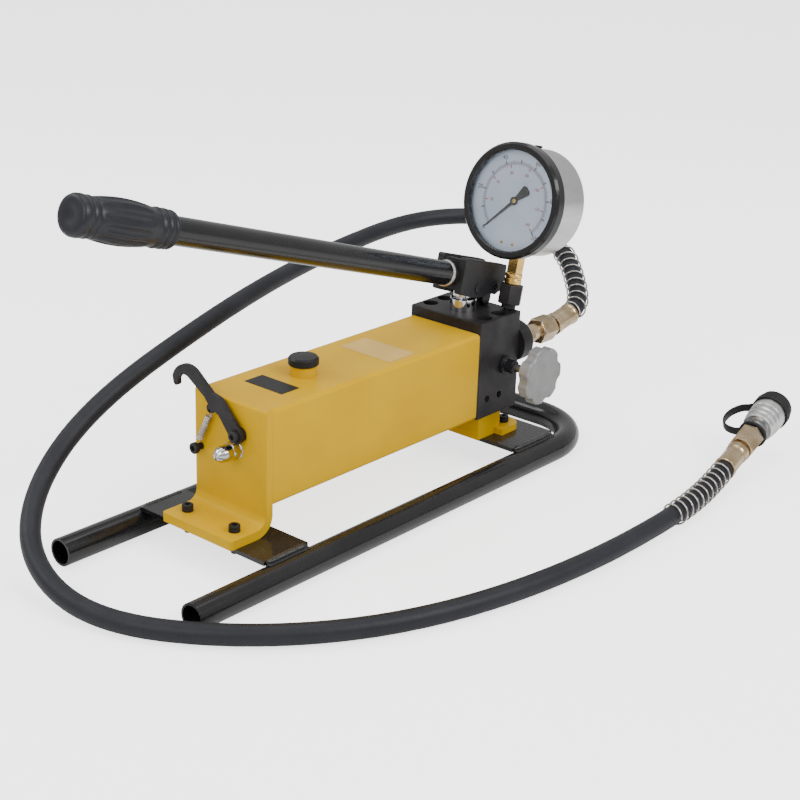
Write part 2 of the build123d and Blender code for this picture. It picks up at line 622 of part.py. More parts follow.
def gauge_pointer():
    """Pointer, counterweight, hub and arbor. It rests at the start of the scale, at lower left."""
    needle = Polyline((-1.9, 0), (-0.5, 54), (0.5, 54), (1.9, 0), close=True)
    tail = Polyline((-1.8, 0), (-6.8, -22), (-3.4, -24.6), (3.4, -24.6), (6.8, -22), (1.8, 0), close=True)
    blade = Pos(0, 0, 14.8) * extrude(make_face(needle) + make_face(tail), 0.8)
    hub = rod(5, 13.9, 16.4) + rod(2.5, 4, 16)
    return DIAL * Rot(0, 0, 135) * (blade + hub)


def bourdon_tube():
    path = CenterArc((0, 0), 42, -90, 260)
    section = Plane(origin=path @ 0, z_dir=path % 0) * Ellipse(5.5, 2.2)
    tube = sweep(section, path=path)
    return DIAL * (Pos(0, 0, -14) * tube + slab((-6, 6), (-48, -38), (-20, -6)))


def gauge_fill_plug():
    plug = rod(3, -4, 1) + turned((0, 0.8), (5, 0.8), (5, 2.6), (4, 3.6), (0, 3.6))
    return DIAL * (Pos(0, CASE_R, -16) * Rot(-90, 0, 0) * plug)


# ---------------------------------------------------------------- hose line
def outlet_boss():
    body = turned((5, 0), (26, 0), (26, 18), (24, 20), (5, 20)) + ring(10, 5, -11, 1)
    return OUTLET * body


def outlet_adapter():
    body = ring(5, 3, -10.5, 22) + (hexagon(27, 20, 40) - rod(3, 10, 50)) + ring(11, 3, 39, 58)
    return OUTLET * body


def hose_nut(z0, length):
    return hexagon(30, z0, z0 + length, 1.8) - rod(8, z0 - 1, z0 + length + 1)


def hose_nuts():
    return [OUTLET * hose_nut(58, 29), COUPLER * hose_nut(46, 34)]


def ferrule():
    """Crimped ferrule with its tail, about local Z; the hose enters at the far end of the tail."""
    shell = turned((8, -3), (10, -3), (10, 0), (FERRULE_R, 1), (FERRULE_R, 9), (FERRULE_R - 0.9, 11),
                   (FERRULE_R - 0.9, FERRULE_LEN - 6), (FERRULE_R, FERRULE_LEN - 4), (FERRULE_R, FERRULE_LEN - 1),
                   (FERRULE_R - 1, FERRULE_LEN), (HOSE_R, FERRULE_LEN), (HOSE_R, 8), (HOSE_BORE_R, 8),
                   (3, 8), (3, -3))
    for k in range(8):
        shell -= Rot(0, 0, 45 * k) * Pos(FERRULE_R + 18.6, 0, FERRULE_LEN / 2 + 2) * Cylinder(20, 22)
    return shell


def hose_ferrules():
    tail = OUTLET * ring(7.9, 3, 60, 92.5)
    outlet_end = OUTLET_TAIL * ferrule() + tail
    flipped = Pos(0, 0, FERRULE_LEN) * Rot(180, 0, 0) * ferrule()
    coupler_end = COUPLER * (flipped + ring(7.9, 3, FERRULE_LEN + 2, 68))
    return [outlet_end, coupler_end]


def hose_line():
    start = outlet_start + outlet_dir * FERRULE_LEN
    points = [start] + [Vector(*p) for p in HOSE_PATH] + [Vector(*COUPLER_START)]
    return Spline(*points, tangents=[outlet_dir, coupler_dir], tangent_scalars=[1, 1])


def hose():
    path = hose_line()
    section = Plane(origin=path @ 0, z_dir=path % 0) * (Circle(HOSE_R) - Circle(HOSE_BORE_R))
    body = sweep(section, path=path)
    inside = FERRULE_LEN - 8
    plug_in = OUTLET_TAIL * ring(HOSE_R, HOSE_BORE_R, 8, FERRULE_LEN)
    plug_out = COUPLER * ring(HOSE_R, HOSE_BORE_R, 0, inside)
    return body + plug_in + plug_out


def wound_guard(path, u0, u1, turns, per_turn=10):
    """Guard spring wound on the hose between two fractions of its length."""
    points = []
    count = int(turns * per_turn)
    for i in range(count + 1):
        share = i / count
        u = u0 + (u1 - u0) * share
        tangent = path % u
        side = tangent.cross(Z_AXIS).normalized()
        above = side.cross(tangent)
        angle = 2 * 3.14159265 * turns * share
        points.append(path @ u + side * (GUARD_R * cos(angle)) + above * (GUARD_R * sin(angle)))
    wire_path = Spline(*points)
    section = Plane(origin=wire_path @ 0, z_dir=wire_path % 0) * Circle(GUARD_WIRE)
    return sweep(section, path=wire_path, is_frenet=True)


def guard_springs():
    path = hose_line()
    length = path.length
    first, last = 2 / length, 150 / length
    return [wound_guard(path, first, last, 10), wound_guard(path, 1 - last, 1 - first, 11)]


# ---------------------------------------------------------------- quick coupler
COUPLER_BORE_R = 11.9
COUPLER_MOUTH = 142.0
SOCKET_FLOOR = 118.0
LOCK_BALL_R = 2.4
LOCK_BALLS = 8
STRAP_TURN = -95.0


def coupler_adapter():
    """Rear half of the coupler: its thread, the neck, the spring chamber and the seat of the poppet."""
    return COUPLER * turned((4, 69), (7.95, 69), (7.95, 80.1), (13, 80.1), (13, 100), (17, 100), (17, 102),
                            (15, 102), (15, SOCKET_FLOOR), (7, SOCKET_FLOOR), (7, 114), (10, 114), (10, 90), (4, 90))


def coupler_body():
    """Front half of the coupler: the socket with its ring of ball holes, screwed over the rear half."""
    mouth, bore = COUPLER_MOUTH, COUPLER_BORE_R
    body = turned((bore, SOCKET_FLOOR), (15, SOCKET_FLOOR), (15, 116.05), (17, 116.05), (17, mouth - 1),
                  (16, mouth), (bore, mouth))
    for k in range(LOCK_BALLS):
        spot = Rot(0, 0, k * 360 / LOCK_BALLS) * Pos(15, 0, 134) * Rot(0, 90, 0)
        body -= spot * Cylinder(LOCK_BALL_R + 0.05, 12)
    return COUPLER * body


def locking_balls():
    place = [Rot(0, 0, k * 360 / LOCK_BALLS) * Pos(17 - LOCK_BALL_R, 0, 134) for k in range(LOCK_BALLS)]
    return [COUPLER * spot * ball(LOCK_BALL_R) for spot in place]


def coupler_sleeve():
    bore, lip = 17 + RUN_GAP, 15 + RUN_GAP
    outer = [(18.8, 97), (20, 98.6), (20, 104), (19.2, 105.5), (21.2, 107), (21.2, 112), (20.2, 113.5),
             (22, 115), (22, 121), (21, 122.5), (22.2, 124), (22.2, 137), (21, 140)]
    body = turned((bore, 97), *outer, (19.4, 140), (19.4, 137), (bore, 136), (bore, 116), (lip, 116),
                  (lip, 112), (bore, 112))
    return COUPLER * body


def coupler_springs():
    return [COUPLER * coil(16.1, 0.7, 102.05, 111.95, 2), COUPLER * coil(7.2, 0.8, 90.1, 108.5, 5)]


def coupler_poppet():
    return COUPLER * turned((0, 94), (3, 94), (3, 109), (8.6, 109), (8.6, 111.5), (6.9, 113.9), (6.9, 117.4),
                            (0, 117.4))


def dust_cap():
    body = turned((0, 144), (22.4, 144), (22.4, 134.5), (24.4, 134.5), (24.4, 145), (22.8, 146.5), (22, 154.5),
                  (20.2, 156.5), (0, 156.5))
    for k in range(24):
        body -= Rot(0, 0, 15 * k) * Pos(25, 0, 141) * Cylinder(1.1, 30)
    return COUPLER * body


def dust_cap_strap():
    """Moulded strap: a ring behind the coupler and a band that loops up towards the cap."""
    loop = ring(18.4, 13.1, 80.4, 85)
    path = Spline((0, 17.6, 82.7), (0, 35, 85), (0, 48, 103), (0, 44, 127), (0, 26.4, 141),
                  tangents=[(0, 1, -0.2), (0, -0.6, 1)])
    section = Plane(origin=path @ 0, z_dir=path % 0, x_dir=(1, 0, 0)) * Rectangle(10, 1.8)
    band = sweep(section, path=path)
    side = Rot(0, 0, STRAP_TURN)
    return COUPLER * side * (loop + band)


parts = {
    "skid_tube": skid_tube(),
    "rear_cross_plate": cross_plate(REAR_PLATE_X, FOOT_BOLT_X, FOOT_BOLT_Y, 4.5),
    "front_cross_plate": cross_plate(FRONT_PLATE_X, FRONT_SCREW_X, FRONT_SCREW_Y, 4.5),
    "rear_foot": rear_foot(),
    "foot_screws": foot_screws(),
    "foot_nuts": foot_nuts(),
    "tank_shell": tank_shell(),
    "tank_gasket": tank_gasket(),
    "filler_neck": filler_neck(),
    "filler_cap": filler_cap(),
    "tie_rod": tie_rod(),
    "dome_nut": dome_nut(),
    "suction_strainer": suction_strainer(),
    "hook_lever": hook_lever(),
    "hook_screws": hook_screws(),
    "hook_spring": hook_spring(),
    "front_foot": front_foot(),
    "valve_block": valve_block(),
    "top_port_plugs": top_port_plugs(),
    "inlet_ball": check_ball(TOP_PORTS[1]),
    "discharge_ball": check_ball(TOP_PORTS[3]),
    "valve_springs": valve_springs(),
    "relief_set_screws": relief_set_screws(),
    "relief_balls": relief_balls(),
    "gland_nut": gland_nut(),
    "rod_seal": rod_seal(),
    "pump_piston": pump_piston(),
    "release_gland": release_gland(),
    "release_spindle": release_spindle(),
    "release_knob": release_knob(),
    "fulcrum_lug": fulcrum_lug(),
    "fulcrum_links": fulcrum_links(),
    "fulcrum_pins": fulcrum_pins(),
    "piston_pin": piston_pin(),
    "handle_head": handle_head(),
    "handle_tube": handle_tube(),
    "handle_grip": handle_grip(),
    "gauge_adapter": gauge_adapter(),
    "gauge_stem": gauge_stem(),
    "gauge_case": gauge_case(),
    "gauge_bezel": gauge_bezel(),
    "gauge_window": gauge_window(),
    "gauge_dial": gauge_dial(),
    "gauge_pointer": gauge_pointer(),
    "bourdon_tube": bourdon_tube(),
    "gauge_fill_plug": gauge_fill_plug(),
    "outlet_boss": outlet_boss(),
    "outlet_adapter": outlet_adapter(),
    "hose_nuts": hose_nuts(),
    "hose_ferrules": hose_ferrules(),
    "guard_springs": guard_springs(),
    "hose": hose(),
    "coupler_adapter": coupler_adapter(),
    "coupler_body": coupler_body(),
    "coupler_sleeve": coupler_sleeve(),
    "locking_balls": locking_balls(),
    "coupler_springs": coupler_springs(),
    "coupler_poppet": coupler_poppet(),
    "dust_cap": dust_cap(),
    "dust_cap_strap": dust_cap_strap(),
}

os.makedirs("parts", exist_ok=True)
to_origin = Pos(-FOOTPRINT_X, -FOOTPRINT_Y, 0)
for name, shape in parts.items():
    solids = shape if isinstance(shape, list) else [shape]
    placed = [to_origin * solid for solid in solids]
    whole = placed[0] if len(placed) == 1 else Compound(children=placed)
    export_step(whole, f"parts/{name}.step")
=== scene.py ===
import json
from math import atan2, cos, pi, radians, sin

import bmesh
import bpy
from mathutils import Matrix, Vector, noise


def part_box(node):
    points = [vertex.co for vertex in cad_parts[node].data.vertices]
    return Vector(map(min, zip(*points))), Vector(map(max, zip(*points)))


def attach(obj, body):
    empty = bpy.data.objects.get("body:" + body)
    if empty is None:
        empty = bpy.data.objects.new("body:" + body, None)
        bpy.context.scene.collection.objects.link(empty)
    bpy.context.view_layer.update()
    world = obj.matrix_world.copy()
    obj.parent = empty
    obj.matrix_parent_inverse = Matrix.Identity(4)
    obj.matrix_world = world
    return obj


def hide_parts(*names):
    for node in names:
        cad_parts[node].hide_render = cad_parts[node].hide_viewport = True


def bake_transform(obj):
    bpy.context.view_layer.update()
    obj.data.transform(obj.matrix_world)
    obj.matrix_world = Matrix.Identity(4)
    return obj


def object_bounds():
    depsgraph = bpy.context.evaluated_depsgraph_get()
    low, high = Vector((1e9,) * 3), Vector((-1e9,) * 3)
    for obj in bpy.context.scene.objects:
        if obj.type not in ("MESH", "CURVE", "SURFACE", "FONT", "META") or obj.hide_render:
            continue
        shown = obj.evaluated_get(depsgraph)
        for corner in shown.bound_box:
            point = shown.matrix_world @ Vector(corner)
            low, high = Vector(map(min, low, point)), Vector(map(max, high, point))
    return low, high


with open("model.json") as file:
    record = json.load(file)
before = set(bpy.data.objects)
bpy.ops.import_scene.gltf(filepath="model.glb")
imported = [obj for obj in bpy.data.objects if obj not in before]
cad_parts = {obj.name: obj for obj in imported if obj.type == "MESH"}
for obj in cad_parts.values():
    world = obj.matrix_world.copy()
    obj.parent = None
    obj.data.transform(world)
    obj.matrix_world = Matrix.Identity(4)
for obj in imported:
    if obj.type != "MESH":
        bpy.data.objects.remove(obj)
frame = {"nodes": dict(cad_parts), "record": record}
start_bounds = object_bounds()
record = frame["record"]
joints = {j["name"]: j for j in record["behaviour"]["joints"]}
mounts = {m["name"]: m for m in record["mounts"]}


# ---------------------------------------------------------------- node materials
def add_node(tree, kind, settings=None, inputs=None):
    n = tree.nodes.new("ShaderNode" + kind)
    for key, value in (settings or {}).items():
        setattr(n, key, value)
    for key, value in (inputs or {}).items():
        if isinstance(value, bpy.types.NodeSocket):
            tree.links.new(value, n.inputs[key])
        else:
            n.inputs[key].default_value = value
    return n


def spread(tree, value, low, high, to_low, to_high):
    inputs = {"Value": value, "From Min": low, "From Max": high, "To Min": to_low, "To Max": to_high}
    return add_node(tree, "MapRange", None, inputs).outputs["Result"]


def rgba(colour):
    return (*colour, 1.0)


DUST = rgba((0.5, 0.48, 0.44))
RELIEF_DEPTH = 0.0006


def finish(name, colour, rough, metal=0.0, vary=0.12, size=25.0, stretch=(1, 1, 1), relief=0.1,
           grain=700.0, worn=None, wear=0.7, edge=0.0010, coat=0.0, second=None, uneven=0.08, dust=0.0,
           shine=0.5, tint=(1, 1, 1)):
    """Material with clouded colour, uneven gloss, fine relief, rounded edges and worn or dusty places.

    size and grain are the scales of the clouds and of the fine relief. second is the colour of the
    lighter clouds, worn the colour of rubbed edges, and dust how pale the upward faces get.
    """
    mat = bpy.data.materials.new(name)
    mat.use_nodes = True
    mat.diffuse_color = rgba(colour)
    tree = mat.node_tree
    shader = tree.nodes["Principled BSDF"]
    place = add_node(tree, "TexCoord").outputs["Object"]
    place = add_node(tree, "Mapping", None, {"Vector": place, "Scale": stretch}).outputs["Vector"]
    cloud = add_node(tree, "TexNoise", None, {"Vector": place, "Scale": size, "Detail": 7.0}).outputs["Fac"]
    fine = add_node(tree, "TexNoise", None, {"Vector": place, "Scale": grain, "Detail": 3.0}).outputs["Fac"]
    dark = [c * (1 - vary) for c in colour]
    light = [min(1.0, c * (1 + vary)) for c in (second or colour)]
    share = spread(tree, cloud, 0.35, 0.65, 0.0, 1.0)
    clouds = {"Fac": share, "Color1": rgba(dark), "Color2": rgba(light)}
    tone = add_node(tree, "MixRGB", None, clouds).outputs[0]
    rounded = add_node(tree, "Bevel", {"samples": 4}, {"Radius": edge}).outputs["Normal"]
    true = add_node(tree, "NewGeometry").outputs["Normal"]
    match = add_node(tree, "VectorMath", {"operation": "DOT_PRODUCT"}, {0: rounded, 1: true}).outputs["Value"]
    rubbed = spread(tree, match, 0.985, 0.88, 0.0, 1.0)
    patchy = spread(tree, cloud, 0.46, 0.62, 0.0, wear)
    rubbed = add_node(tree, "Math", {"operation": "MULTIPLY"}, {0: rubbed, 1: patchy}).outputs[0]
    bare = rgba(worn or [min(1.0, c * 1.8 + 0.03) for c in colour])
    tone = add_node(tree, "MixRGB", None, {"Fac": rubbed, "Color1": tone, "Color2": bare}).outputs[0]
    if dust:
        up = add_node(tree, "SeparateXYZ", None, {"Vector": true}).outputs["Z"]
        lying = spread(tree, up, 0.3, 1.0, 0.0, dust)
        lying = add_node(tree, "Math", {"operation": "MULTIPLY"}, {0: lying, 1: share}).outputs[0]
        tone = add_node(tree, "MixRGB", None, {"Fac": lying, "Color1": tone, "Color2": DUST}).outputs[0]
    tree.links.new(tone, shader.inputs["Base Color"])
    gloss = spread(tree, fine, 0.3, 0.7, max(0.02, rough - uneven), rough + uneven)
    tree.links.new(gloss, shader.inputs["Roughness"])
    bump = add_node(tree, "Bump", None,
                    {"Strength": relief, "Distance": RELIEF_DEPTH, "Height": fine, "Normal": rounded})
    tree.links.new(bump.outputs["Normal"], shader.inputs["Normal"])
    shader.inputs["Metallic"].default_value = metal
    shader.inputs["Specular IOR Level"].default_value = shine
    shader.inputs["Specular Tint"].default_value = rgba(tint)
    shader.inputs["Coat Weight"].default_value = coat
    shader.inputs["Coat Roughness"].default_value = 0.06
    return mat


def clear_glass(name):
    mat = bpy.data.materials.new(name)
    mat.use_nodes = True
    tree = mat.node_tree
    tree.nodes.remove(tree.nodes["Principled BSDF"])
    place = add_node(tree, "TexCoord").outputs["Object"]
    smear = add_node(tree, "TexNoise", None, {"Vector": place, "Scale": 30.0, "Detail": 5.0}).outputs["Fac"]
    tint = add_node(tree, "MixRGB", None,
                    {"Fac": smear, "Color1": rgba((0.93, 0.96, 0.97)), "Color2": rgba((1, 1, 1))})
    through = add_node(tree, "BsdfTransparent", None, {"Color": tint.outputs[0]}).outputs[0]
    rough = spread(tree, smear, 0.3, 0.7, 0.01, 0.06)
    shine = add_node(tree, "BsdfGlossy", None, {"Roughness": rough, "Color": (1, 1, 1, 1)}).outputs[0]
    wave = add_node(tree, "Bump", None, {"Strength": 0.01, "Distance": 0.0005, "Height": smear}).outputs[0]
    angle = add_node(tree, "Fresnel", None, {"IOR": 1.45, "Normal": wave}).outputs[0]
    both = add_node(tree, "MixShader", None, {0: angle, 1: through, 2: shine}).outputs[0]
    tree.links.new(both, tree.nodes["Material Output"].inputs["Surface"])
    return mat


recipes = {
    "black_gloss_paint": dict(colour=(0.008, 0.008, 0.009), rough=0.22, coat=0.25, relief=0.05, size=18,
                              worn=(0.05, 0.048, 0.046), wear=0.5, dust=0.01, shine=0.3),
    "black_satin_paint": dict(colour=(0.014, 0.014, 0.016), rough=0.44, vary=0.15, relief=0.12, size=30,
                              worn=(0.07, 0.068, 0.066), wear=0.6, shine=0.3),
    "yellow_paint": dict(colour=(0.60, 0.340, 0.0), rough=0.36, vary=0.02, relief=0.04, size=12,
                         grain=350, second=(0.62, 0.365, 0.0), worn=(0.42, 0.19, 0.0), wear=0.3,
                         shine=0.22, tint=(1.0, 0.60, 0.02)),
    "black_oxide": dict(colour=(0.026, 0.024, 0.025), rough=0.42, metal=0.25, vary=0.3, relief=0.08,
                        size=35, worn=(0.09, 0.086, 0.082), wear=0.7, shine=0.2),
    "blued_steel": dict(colour=(0.022, 0.022, 0.025), rough=0.36, metal=0.5, vary=0.3, relief=0.1,
                        size=80, worn=(0.13, 0.127, 0.124), wear=0.7, shine=0.3),
    "chrome": dict(colour=(0.54, 0.53, 0.55), rough=0.09, metal=1.0, vary=0.04, relief=0.02, uneven=0.03),
    "bright_zinc": dict(colour=(0.56, 0.57, 0.59), rough=0.34, metal=1.0, vary=0.10, size=60, relief=0.03,
                        second=(0.62, 0.61, 0.58), worn=(0.80, 0.80, 0.80)),
    "yellow_zinc": dict(colour=(0.48, 0.34, 0.18), rough=0.28, metal=1.0, vary=0.18, size=45,
                        relief=0.015, second=(0.54, 0.43, 0.29), worn=(0.66, 0.58, 0.44), wear=0.6,
                        uneven=0.04),
    "spring_steel": dict(colour=(0.50, 0.47, 0.44), rough=0.28, metal=0.95, vary=0.15, size=120,
                         relief=0.05),
    "ground_steel": dict(colour=(0.60, 0.60, 0.61), rough=0.20, metal=1.0, vary=0.08, size=60,
                         stretch=(1, 1, 6), relief=0.05),
    "cast_aluminium": dict(colour=(0.26, 0.26, 0.26), rough=0.50, metal=0.5, vary=0.10, size=50,
                           relief=0.45, grain=500, worn=(0.45, 0.45, 0.45), wear=0.6, edge=0.0018),
    "stainless": dict(colour=(0.58, 0.58, 0.59), rough=0.26, metal=1.0, vary=0.06, size=20,
                      stretch=(1, 14, 14), relief=0.05),
    "brass": dict(colour=(0.80, 0.49, 0.13), rough=0.24, metal=1.0, vary=0.12, size=70, relief=0.04,
                  second=(0.84, 0.55, 0.18), worn=(0.95, 0.80, 0.45)),
    "black_rubber": dict(colour=(0.010, 0.010, 0.011), rough=0.50, vary=0.2, size=40, relief=0.25,
                         dust=0.02, worn=(0.03, 0.03, 0.03), wear=0.5, shine=0.2),
    "black_plastic": dict(colour=(0.012, 0.012, 0.013), rough=0.36, vary=0.15, size=50, relief=0.12,
                          grain=1200, worn=(0.03, 0.03, 0.03), wear=0.5, shine=0.25),
    "hose_rubber": dict(colour=(0.013, 0.014, 0.018), rough=0.46, vary=0.18, size=16, relief=0.3,
                        grain=1300, dust=0.01, worn=(0.03, 0.032, 0.035), shine=0.25),
    "grip_plastic": dict(colour=(0.010, 0.011, 0.015), rough=0.38, vary=0.12, size=60, relief=0.12,
                         grain=1500, worn=(0.035, 0.038, 0.045), wear=0.5, shine=0.35),
    "gasket_fibre": dict(colour=(0.03, 0.028, 0.025), rough=0.8, vary=0.2, relief=0.4),
    "seal_polyurethane": dict(colour=(0.35, 0.2, 0.06), rough=0.4, relief=0.1),
    "dial_enamel": dict(colour=(0.66, 0.71, 0.82), rough=0.45, vary=0.03, size=30, relief=0.04,
                        grain=1200),
    "pointer_black": dict(colour=(0.008, 0.008, 0.008), rough=0.40, relief=0.05),
    "dial_red": dict(colour=(0.50, 0.015, 0.02), rough=0.45, vary=0.05, relief=0.05),
    "weld_metal": dict(colour=(0.009, 0.009, 0.010), rough=0.34, vary=0.3, relief=0.6, grain=260,
                       coat=0.3, worn=(0.12, 0.115, 0.11), wear=0.6),
    "weld_bright": dict(colour=(0.42, 0.40, 0.37), rough=0.34, metal=0.85, vary=0.35, relief=0.7,
                        grain=300, size=90),
    "label_black": dict(colour=(0.012, 0.012, 0.012), rough=0.45, relief=0.03, size=60, shine=0.3),
    "label_cream": dict(colour=(0.62, 0.40, 0.10), rough=0.40, relief=0.03, size=60, vary=0.05, wear=0.2,
                        shine=0.25),
}
look = {name: finish(name, **recipe) for name, recipe in recipes.items()}
look["window_glass"] = clear_glass("window_glass")


def dress(obj, slot_name, own=None):
    """Gives a piece one material, that of own if it is given, else that of slot_name."""
    obj.data.materials.clear()
    obj.data.materials.append(look[own or slot_name])
    return obj


for part in record["subparts"]:
    obj = frame["nodes"][part["node"]]
    material = look[part["material_slot"]]
    if not obj.material_slots:
        obj.data.materials.append(material)
    for material_slot in obj.material_slots:
        material_slot.link = "OBJECT"
        material_slot.material = material


# ---------------------------------------------------------------- mesh helpers
def mesh_object(name, verts, faces, smooth=True):
    mesh = bpy.data.meshes.new(name)
    mesh.from_pydata([tuple(v) for v in verts], [], faces)
    work = bmesh.new()
    work.from_mesh(mesh)
    bmesh.ops.recalc_face_normals(work, faces=work.faces)
    work.to_mesh(mesh)
    work.free()
    mesh.polygons.foreach_set("use_smooth", [smooth] * len(mesh.polygons))
    obj = bpy.data.objects.new(name, mesh)
    bpy.context.scene.collection.objects.link(obj)
    return obj


def axes_from(origin, z_dir, x_hint):
    """Matrix of a local frame with its z along z_dir and its x as near x_hint as it can be."""
    z = Vector(z_dir).normalized()
    y = z.cross(Vector(x_hint)).normalized()
    x = y.cross(z)
    m = Matrix((x, y, z)).transposed().to_4x4()
    m.translation = Vector(origin)
    return m


def lathe(name, place, profile, around=96, radius_at=None):
    """Closed body of revolution about the local z of place. radius_at may vary its radius."""
    verts = []
    for r, z in profile:
        for k in range(around):
            a = 2 * pi * k / around
            rr = radius_at(r, z, a) if radius_at else r
            verts.append(place @ Vector((rr * cos(a), rr * sin(a), z)))
    faces = []
    for i in range(len(profile) - 1):
        for k in range(around):
            n = (k + 1) % around
            faces.append((i * around + k, i * around + n, (i + 1) * around + n, (i + 1) * around + k))
    faces.append(tuple(range(around)))
    faces.append(tuple(range((len(profile) - 1) * around, len(profile) * around)))
    return mesh_object(name, verts, faces)


def slabs(name, place, corner_lists, low, high):
    """Flat pieces between two heights of a local frame, one for each closed outline."""
    verts, faces = [], []
    for corners in corner_lists:
        n, first = len(corners), len(verts)
        verts += [place @ Vector((x, y, low)) for x, y in corners]
        verts += [place @ Vector((x, y, high)) for x, y in corners]
        faces.append(tuple(range(first + n - 1, first - 1, -1)))
        faces.append(tuple(range(first + n, first + 2 * n)))
        faces += [(first + i, first + (i + 1) % n, first + n + (i + 1) % n, first + n + i) for i in range(n)]
    return mesh_object(name, verts, faces, smooth=False)


# ---------------------------------------------------------------- gauge face
needle = joints["gauge_needle"]
dial_normal = -Vector(needle["axis"])
dial_low, dial_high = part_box("gauge_dial")
dial_r = (dial_high[1] - dial_low[1]) / 2
dial_top = 0.0134  # printed face of the dial, above the pointer joint's point
DIAL = axes_from(needle["pos_m"], dial_normal, (0, -1, 0))
FIRST, SWEEP = 225.0, 270.0  # degrees: zero mark, and the turn from zero to full scale
INK_LOW, INK_HIGH = dial_top - 0.0001, dial_top + 0.00014


def dial_angle(share):
    return radians(FIRST - SWEEP * share)


def tick(share, inner, outer, width):
    """Outline of one printed mark at a share of full scale."""
    a = dial_angle(share)
    along = Vector((cos(a), sin(a)))
    across = Vector((-sin(a), cos(a))) * width / 2
    return [along * inner - across, along * outer - across, along * outer + across, along * inner + across]


def arc_band(inner, outer, parts=60):
    """Thin printed arc from zero to full scale, as short flat pieces."""
    angles = [dial_angle(k / parts) for k in range(parts + 1)]
    return [
        [Vector((cos(p), sin(p))) * inner, Vector((cos(p), sin(p))) * outer,
         Vector((cos(q), sin(q))) * outer, Vector((cos(q), sin(q))) * inner]
        for p, q in zip(angles, angles[1:])
    ]


def numbers(name, values, top, radius, size, slot_look):
    """Printed numbers round the dial, upright to the reader."""
    made = []
    for value in values:
        curve = bpy.data.curves.new(name, "FONT")
        curve.body = str(value)
        curve.size = size
        curve.extrude = 0.00006
        curve.align_x = "CENTER"
        curve.align_y = "CENTER"
        text = bpy.data.objects.new(name, curve)
        bpy.context.scene.collection.objects.link(text)
        bpy.context.view_layer.update()
        mesh = bpy.data.meshes.new_from_object(text.evaluated_get(bpy.context.evaluated_depsgraph_get()))
        a = dial_angle(value / top)
        mesh.transform(DIAL @ Matrix.Translation((radius * cos(a), radius * sin(a), dial_top + 0.0001)))
        bpy.data.objects.remove(text)
        made.append(mesh)
    work = bmesh.new()
    for mesh in made:
        work.from_mesh(mesh)
    joined = bpy.data.meshes.new(name)
    work.to_mesh(joined)
    work.free()
    obj = bpy.data.objects.new(name, joined)
    bpy.context.scene.collection.objects.link(obj)
    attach(dress(obj, "dial_enamel", slot_look), "base")
    return obj


OUTER_FULL, INNER_FULL, NUMBER_STEP = 100, 140, 20
ring_r = dial_r * 0.70
outer_ticks = arc_band(ring_r, ring_r + 0.0003)
for k in range(OUTER_FULL + 1):
    reach = 0.0052 if k % 10 == 0 else 0.0042 if k % 5 == 0 else 0.0030
    broad = 0.0014 if k % 10 == 0 else 0.0006
    outer_ticks.append(tick(k / OUTER_FULL, ring_r, ring_r + reach, broad))
scale_black = slabs("outer_scale", DIAL, outer_ticks, INK_LOW, INK_HIGH)
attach(dress(scale_black, "dial_enamel", "pointer_black"), "base")
inner_ticks = []
for k in range(INNER_FULL + 1):
    reach = 0.0048 if k % 20 == 0 else 0.0026 if k % 10 == 0 else 0.0018
    broad = 0.0011 if k % 20 == 0 else 0.0004
    inner_ticks.append(tick(k / INNER_FULL, ring_r - reach, ring_r - 0.0006, broad))
scale_red = slabs("inner_scale", DIAL, inner_ticks, INK_LOW, INK_HIGH)
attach(dress(scale_red, "dial_enamel", "dial_red"), "base")
numbers("outer_numbers", range(0, OUTER_FULL + 1, NUMBER_STEP), OUTER_FULL, dial_r * 0.855, 0.0078,
        "pointer_black")
numbers("inner_numbers", range(0, INNER_FULL + 1, NUMBER_STEP), INNER_FULL, dial_r * 0.535, 0.0052,
        "dial_red")


def slotted_screw(name, place, radius, height, slot_name, body):
    """Low round screw head with a black bar across it, painted shade standing for the slot."""
    head = lathe(name, place, [(radius, 0), (radius, height * 0.5), (radius * 0.9, height * 0.85),
                               (radius * 0.6, height)], 32)
    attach(dress(head, slot_name), body)
    bar = [(-radius * 0.8, -radius * 0.13), (radius * 0.8, -radius * 0.13), (radius * 0.8, radius * 0.13),
           (-radius * 0.8, radius * 0.13)]
    # painted shade: a black bar on the head stands for the dark inside of the slot
    slot_shade = slabs(name + "_slot", place, [bar], height * 0.9, height * 1.02)
    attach(dress(slot_shade, slot_name, "pointer_black"), body)


screw_r = dial_r * 0.82
for label, degrees_round in (("left", 261), ("right", 279)):
    a = radians(degrees_round)
    seat = DIAL @ Matrix.Translation((screw_r * cos(a), screw_r * sin(a), dial_top))
    slotted_screw(f"dial_screw_{label}", seat, 0.0019, 0.0009, "brass", "base")


hub_cap = lathe("pointer_hub_cap", DIAL @ Matrix.Translation((0, 0, dial_top)),
                [(0.0034, 0.0010), (0.0034, 0.0030), (0.0030, 0.0033), (0.0012, 0.0034)], 48)
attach(dress(hub_cap, "pointer_black", "brass"), "gauge_needle_body")


# ---------------------------------------------------------------- handle
def tube_axis(node):
    """Start, direction and radius of a straight tube in the XZ plane, from its box."""
    low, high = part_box(node)
    r = (high[1] - low[1]) / 2
    dx, dz = high[0] - low[0], high[2] - low[2]
    pitch = atan2(dz, dx)
    for _ in range(20):
        pitch = atan2(dz - 2 * r * cos(pitch), dx - 2 * r * sin(pitch))
    first = Vector((high[0] - r * sin(pitch), (high[1] + low[1]) / 2, low[2] + r * cos(pitch)))
    length = (dx - 2 * r * sin(pitch)) / cos(pitch)
    return first, Vector((-cos(pitch), 0, sin(pitch))), r, length


tube_start, tube_dir, tube_r, tube_length = tube_axis("handle_tube")
HANDLE = axes_from(tube_start, tube_dir, (0, 1, 0))
GRIP_LENGTH = 0.125
FLUTES = 12
FLUTE_DEPTH = 0.0019
grip_start = tube_length + 0.005 - GRIP_LENGTH
flute_mid = grip_start + 0.068
flute_half = 0.030


